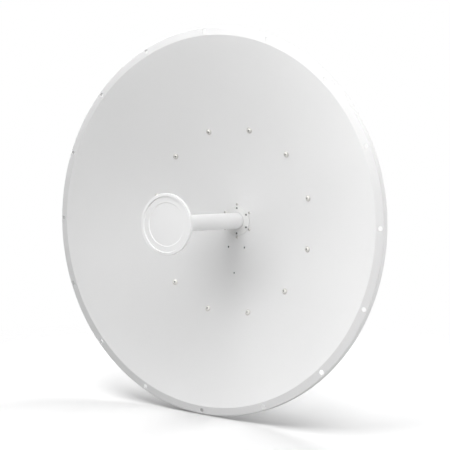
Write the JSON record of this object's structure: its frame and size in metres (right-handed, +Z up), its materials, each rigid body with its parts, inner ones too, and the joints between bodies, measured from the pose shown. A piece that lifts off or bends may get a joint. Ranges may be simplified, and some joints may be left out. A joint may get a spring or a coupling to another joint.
{
  "type": "microwave dish antenna",
  "caption": "Deep round metal dish with a bolted, turned-back rim, a centre feed tube ending in a round sub-reflector, a ring and plate behind, and a flat pole bracket.",
  "frame": {"origin": "on the flat rear face of the pole bracket, where the dish's axis crosses it", "axes": "the dish looks along -Y, +Y points out of the bracket's rear face towards the pole, +Z is up"},
  "size_m": [1.047, 0.4655, 1.047],
  "materials": {
    "dish_coating": "white powder coating on aluminium, fine satin grain",
    "feed_plastic": "white moulded weatherproof plastic, soft satin",
    "cast_alloy": "die-cast aluminium, as cast",
    "connector_plating": "nickel plating on brass",
    "galvanised_steel": "hot-dip galvanised, dull with a faint spangle",
    "stainless_steel": "plain stainless fasteners"
  },
  "bodies": {
    "root": {"reflector": "dish_coating", "feed_flange": "feed_plastic", "feed_tube": "feed_plastic", "feed_collar": "feed_plastic", "feed_disc": "feed_plastic", "feed_neck": "cast_alloy", "feed_housing": "cast_alloy", "rf_connector_left": "connector_plating", "rf_connector_right": "connector_plating", "support_ring": "galvanised_steel", "back_plate": "galvanised_steel", "hub_spacer": "galvanised_steel", "bush_lower_left": "galvanised_steel", "bush_lower_right": "galvanised_steel", "bush_bottom": "galvanised_steel", "cheek_left": "galvanised_steel", "cheek_right": "galvanised_steel", "pole_bracket": "galvanised_steel", "pivot_bolt_left": "stainless_steel", "pivot_bolt_right": "stainless_steel", "lock_bolt_left": "stainless_steel", "lock_bolt_right": "stainless_steel"}
  },
  "joints": []
}
